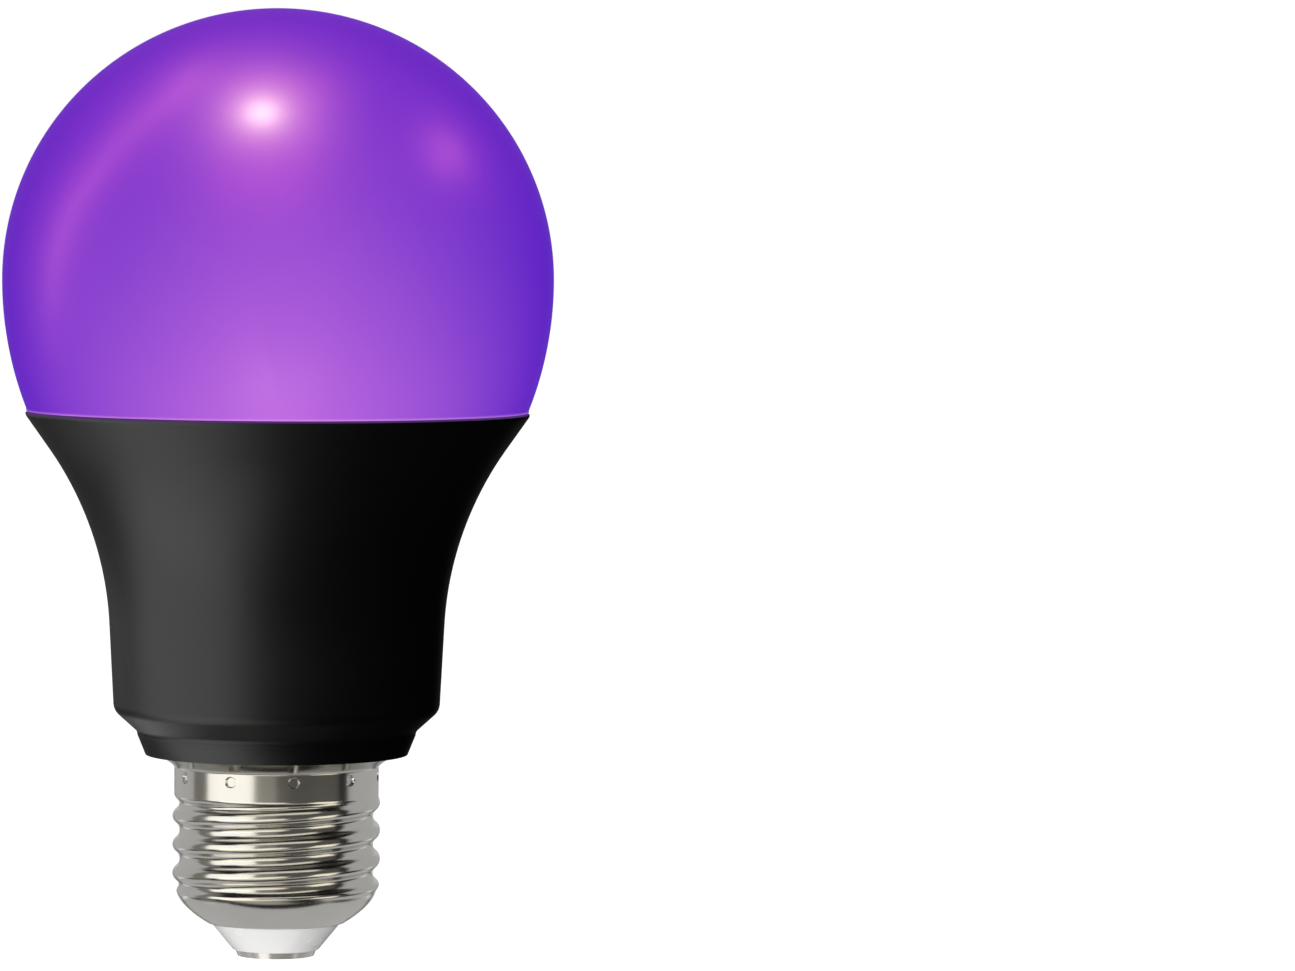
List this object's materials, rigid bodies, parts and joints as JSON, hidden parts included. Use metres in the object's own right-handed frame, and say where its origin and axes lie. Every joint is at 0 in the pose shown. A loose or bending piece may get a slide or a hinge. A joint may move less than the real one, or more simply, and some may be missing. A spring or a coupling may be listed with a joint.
{
  "type": "black light bulb",
  "caption": "Violet globe light bulb with a flared black housing and a 26 mm screw cap, holding a round light board, a heat sink and a driver board.",
  "frame": {"origin": "middle of the tip contact's end face, on the bulb's axis", "axes": "+Z along the bulb's axis from the tip contact towards the globe, -Y towards the viewer, +X to the viewer's right"},
  "size_m": [0.0694, 0.0694, 0.1198],
  "materials": {
    "globe": "moulded translucent violet polycarbonate, glossy",
    "silicone": "silicone sealant bead",
    "housing": "black moulded polycarbonate over the aluminium cup, satin gloss",
    "heat_sink": "deep-drawn aluminium sheet",
    "light_board": "aluminium-core board with white solder mask",
    "screws": "zinc-plated steel",
    "socket": "moulded nylon",
    "pins": "tinned brass",
    "driver_board": "glass-epoxy circuit board",
    "capacitor_sleeve": "aluminium can in a shrunk plastic sleeve",
    "ferrite": "pressed ferrite drum core",
    "winding": "enamelled copper wire",
    "resistor": "coated wire-wound resistor",
    "package": "moulded epoxy package with tinned legs",
    "tinned_wire": "tinned copper wire",
    "cap": "nickel-plated brass sheet, rolled thread",
    "insulator": "white moulded insulator",
    "contact": "nickel-plated brass",
    "led_package": "surface-mount ultraviolet light source"
  },
  "bodies": {
    "root": {"diffuser_dome": "globe", "dome_seal": "silicone", "housing": "housing", "heat_sink_cup": "heat_sink", "led_board": "light_board", "board_screws": "screws", "board_socket": "socket", "output_pins": "pins", "driver_board": "driver_board", "input_capacitor": "capacitor_sleeve", "output_capacitor": "capacitor_sleeve", "inductor_core": "ferrite", "inductor_winding": "winding", "fuse_resistor": "resistor", "bridge_rectifier": "package", "driver_chip": "package", "live_wire": "tinned_wire", "neutral_wire": "tinned_wire", "cap_shell": "cap", "cap_insulator": "insulator", "tip_contact": "contact", "led_01": "led_package", "led_02": "led_package", "led_03": "led_package", "led_04": "led_package", "led_05": "led_package", "led_06": "led_package", "led_07": "led_package", "led_08": "led_package", "led_09": "led_package", "led_10": "led_package", "led_11": "led_package", "led_12": "led_package"}
  },
  "joints": []
}
